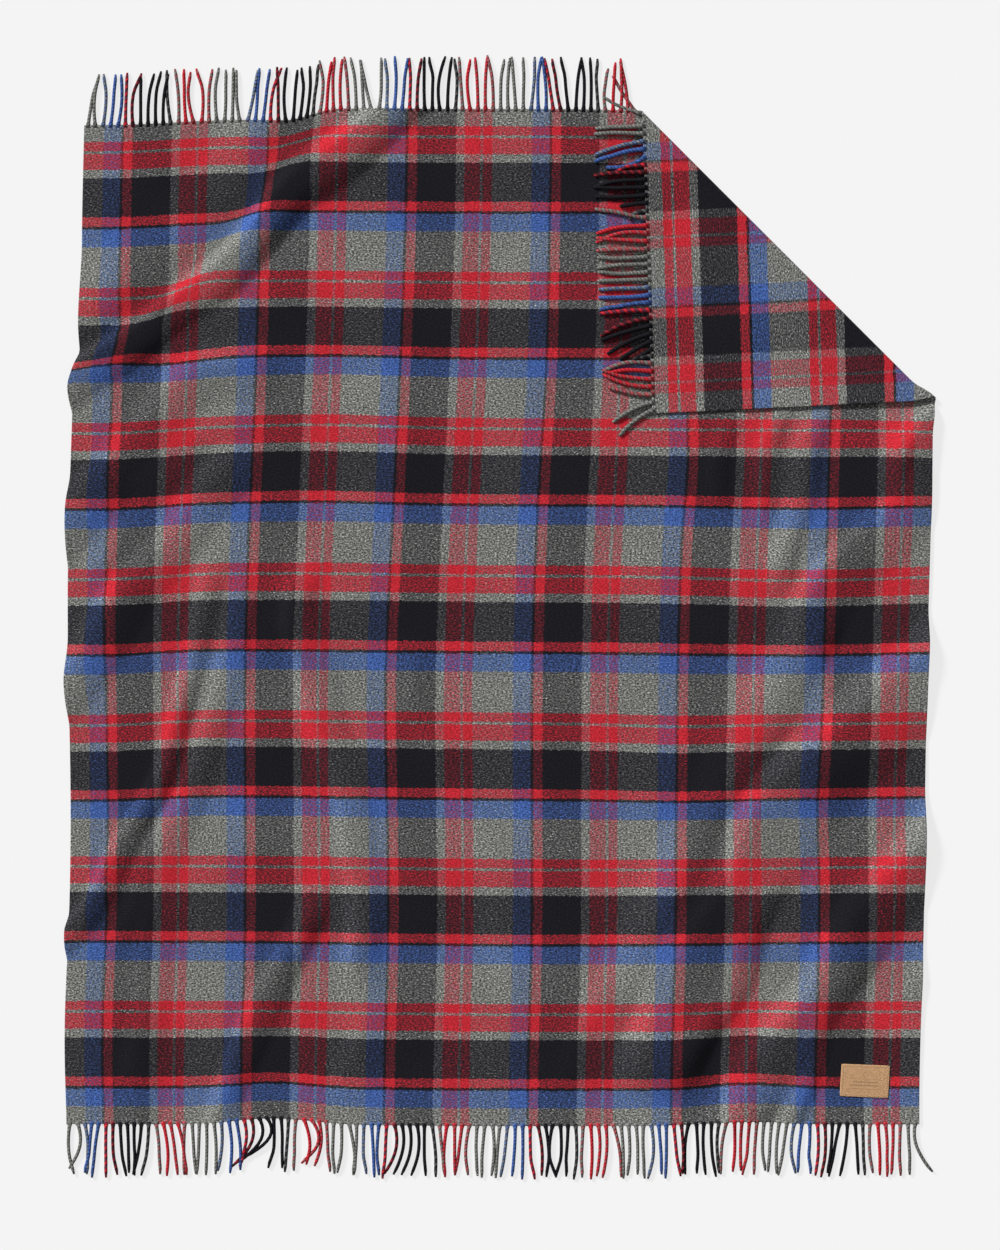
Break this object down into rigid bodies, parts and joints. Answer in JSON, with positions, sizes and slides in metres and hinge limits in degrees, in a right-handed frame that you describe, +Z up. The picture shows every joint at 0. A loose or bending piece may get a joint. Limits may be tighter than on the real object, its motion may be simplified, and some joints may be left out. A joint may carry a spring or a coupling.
{
  "type": "folded throw blanket",
  "caption": "Rectangular brushed wool plaid throw with twisted fringe at both ends, laid flat with one corner folded over and a small leather label.",
  "frame": {"origin": "under the middle of the throw, on the surface that it lies on", "axes": "+Y along the throw's length, away from the end with the label; +X across its width, towards the selvedge with the label and the folded corner; +Z up"},
  "size_m": [1.4, 1.818, 0.012],
  "materials": {
    "plaid_wool": "brushed wool twill in a red, black, grey and blue plaid",
    "fringe_grey": "twisted grey marl wool yarn",
    "fringe_blue": "twisted blue wool yarn",
    "fringe_black": "twisted black wool yarn",
    "fringe_red": "twisted red wool yarn",
    "label_leather": "smooth natural tan leather",
    "label_thread": "tan sewing thread"
  },
  "bodies": {
    "throw": {"crease_roll": "plaid_wool", "fringe_far_01_grey": "fringe_grey", "fringe_far_02_blue": "fringe_blue", "fringe_far_03_black": "fringe_black", "fringe_far_04_red": "fringe_red", "fringe_far_05_grey": "fringe_grey", "fringe_far_06_blue": "fringe_blue", "fringe_far_07_black": "fringe_black", "fringe_far_08_red": "fringe_red", "fringe_far_09_grey": "fringe_grey", "fringe_far_10_blue": "fringe_blue", "fringe_far_11_black": "fringe_black", "fringe_far_12_red": "fringe_red", "fringe_far_13_grey": "fringe_grey", "fringe_far_14_blue": "fringe_blue", "fringe_far_15_black": "fringe_black", "fringe_far_16_red": "fringe_red", "fringe_far_17_grey": "fringe_grey", "fringe_near_01_grey": "fringe_grey", "fringe_near_02_blue": "fringe_blue", "fringe_near_03_black": "fringe_black", "fringe_near_04_red": "fringe_red", "fringe_near_05_grey": "fringe_grey", "fringe_near_06_blue": "fringe_blue", "fringe_near_07_black": "fringe_black", "fringe_near_08_red": "fringe_red", "fringe_near_09_grey": "fringe_grey", "fringe_near_10_blue": "fringe_blue", "fringe_near_11_black": "fringe_black", "fringe_near_12_red": "fringe_red", "fringe_near_13_grey": "fringe_grey", "fringe_near_14_blue": "fringe_blue", "fringe_near_15_black": "fringe_black", "fringe_near_16_red": "fringe_red", "fringe_near_17_grey": "fringe_grey", "fringe_near_18_blue": "fringe_blue", "fringe_near_19_black": "fringe_black", "fringe_near_20_red": "fringe_red", "fringe_near_21_grey": "fringe_grey", "fringe_near_22_blue": "fringe_blue", "fringe_near_23_black": "fringe_black", "fringe_near_24_red": "fringe_red", "fringe_near_25_grey": "fringe_grey", "label_stitching": "label_thread", "leather_label": "label_leather", "throw_cloth": "plaid_wool"},
    "folded_corner": {"folded_corner_cloth": "plaid_wool", "fringe_corner_01_grey": "fringe_grey", "fringe_corner_02_blue": "fringe_blue", "fringe_corner_03_black": "fringe_black", "fringe_corner_04_red": "fringe_red", "fringe_corner_05_grey": "fringe_grey", "fringe_corner_06_blue": "fringe_blue", "fringe_corner_07_black": "fringe_black", "fringe_corner_08_red": "fringe_red", "fringe_corner_09_grey": "fringe_grey"}
  },
  "joints": [
    {"name": "corner_fold", "type": "hinge", "parent": "throw", "child": "folded_corner", "pos_m": [0.45667, 0.58167, 0.006], "axis": [-0.7071, 0.7071, 0], "range_deg": [0, 180.84], "deforming": ["crease_roll"]}
  ]
}
